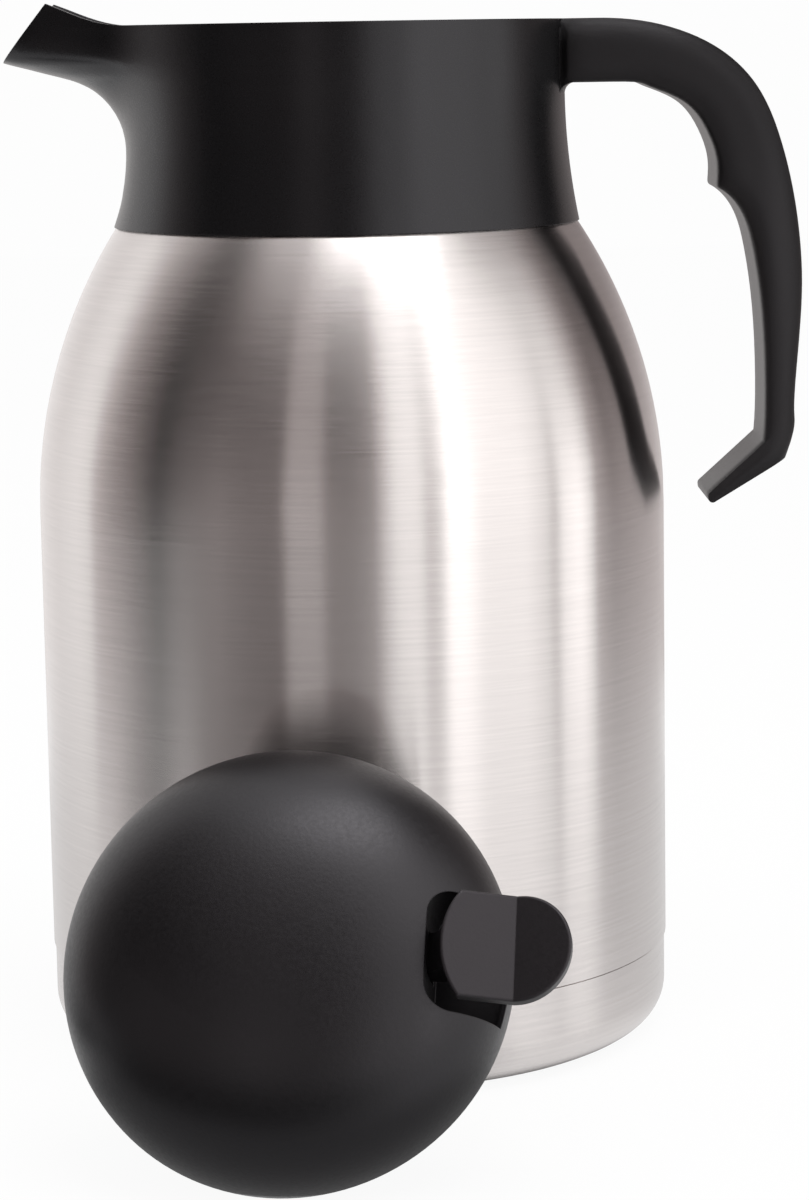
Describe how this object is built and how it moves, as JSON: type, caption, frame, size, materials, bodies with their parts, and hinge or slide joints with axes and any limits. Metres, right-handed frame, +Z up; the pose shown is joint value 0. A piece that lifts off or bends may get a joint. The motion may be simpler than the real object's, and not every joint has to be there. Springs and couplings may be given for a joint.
{
  "type": "thermal carafe",
  "caption": "Vacuum-insulated steel serving carafe with pouring collar, open hook handle and a removable domed screw-in lid with a press-to-pour lever, set down in front.",
  "frame": {"origin": "centre of the carafe's resting face on the table", "axes": "+Z up along the carafe's axis, +X towards the handle, -X towards the spout, the lid stands on the -Y side"},
  "size_m": [0.1817, 0.2198, 0.2391],
  "materials": {
    "brushed_shell": "circumferentially brushed stainless steel",
    "brushed_base": "circumferentially brushed stainless steel",
    "inner_steel": "satin stainless steel",
    "getter_metal": "dull metal",
    "foil": "bright foil",
    "rubber_pad": "matt non-slip rubber",
    "black_plastic": "fine-textured moulding",
    "lid_plastic": "fine-textured moulding",
    "lever_plastic": "fine-textured moulding",
    "stopper_plastic": "smooth moulding",
    "valve_plastic": "smooth moulding",
    "silicone": "translucent silicone",
    "pin_steel": "bright stainless steel",
    "spring_steel": "spring wire"
  },
  "bodies": {
    "carafe": {"outer_shell": "brushed_shell", "shoulder_shell": "brushed_shell", "inner_flask": "inner_steel", "vacuum_bottom": "inner_steel", "seal_plug": "getter_metal", "getter": "getter_metal", "reflective_foil": "foil", "base_cup": "brushed_base", "base_pad": "rubber_pad", "collar": "black_plastic", "throat_insert": "black_plastic", "neck_gasket": "silicone", "handle": "black_plastic"},
    "lid": {"lid_cap": "lid_plastic", "lever_pin": "pin_steel", "stopper_plate": "stopper_plastic", "stopper_body": "stopper_plastic", "stopper_gasket": "silicone", "stem_seal": "silicone", "cap_screws": "pin_steel", "valve_spring": "spring_steel"},
    "lever": {"lever": "lever_plastic"},
    "valve": {"valve_stem": "valve_plastic", "valve_plug": "valve_plastic", "valve_seal": "silicone", "valve_screw": "pin_steel"}
  },
  "joints": [
    {"name": "lid_lift", "type": "slide", "parent": "carafe", "child": "lid", "axis": [0, 0, 1], "range_m": [0, 0.3]},
    {"name": "lever_press", "type": "hinge", "parent": "lid", "child": "lever", "pos_m": [0.00933, -0.12543, 0.04699], "axis": [0.0709, 0.4918, 0.8678], "range_deg": [0, 10], "stiffness_Nm_per_rad": 0.34, "springref_deg": -13.18},
    {"name": "valve_slide", "type": "slide", "parent": "lid", "child": "valve", "axis": [-0.1238, -0.859, 0.4969], "range_m": [0, 0.00454], "deforming": ["valve_spring"]}
  ],
  "couplings": [
    {"joint": "lever_press", "follows": "valve_slide", "rad_per_m": 38.462}
  ]
}
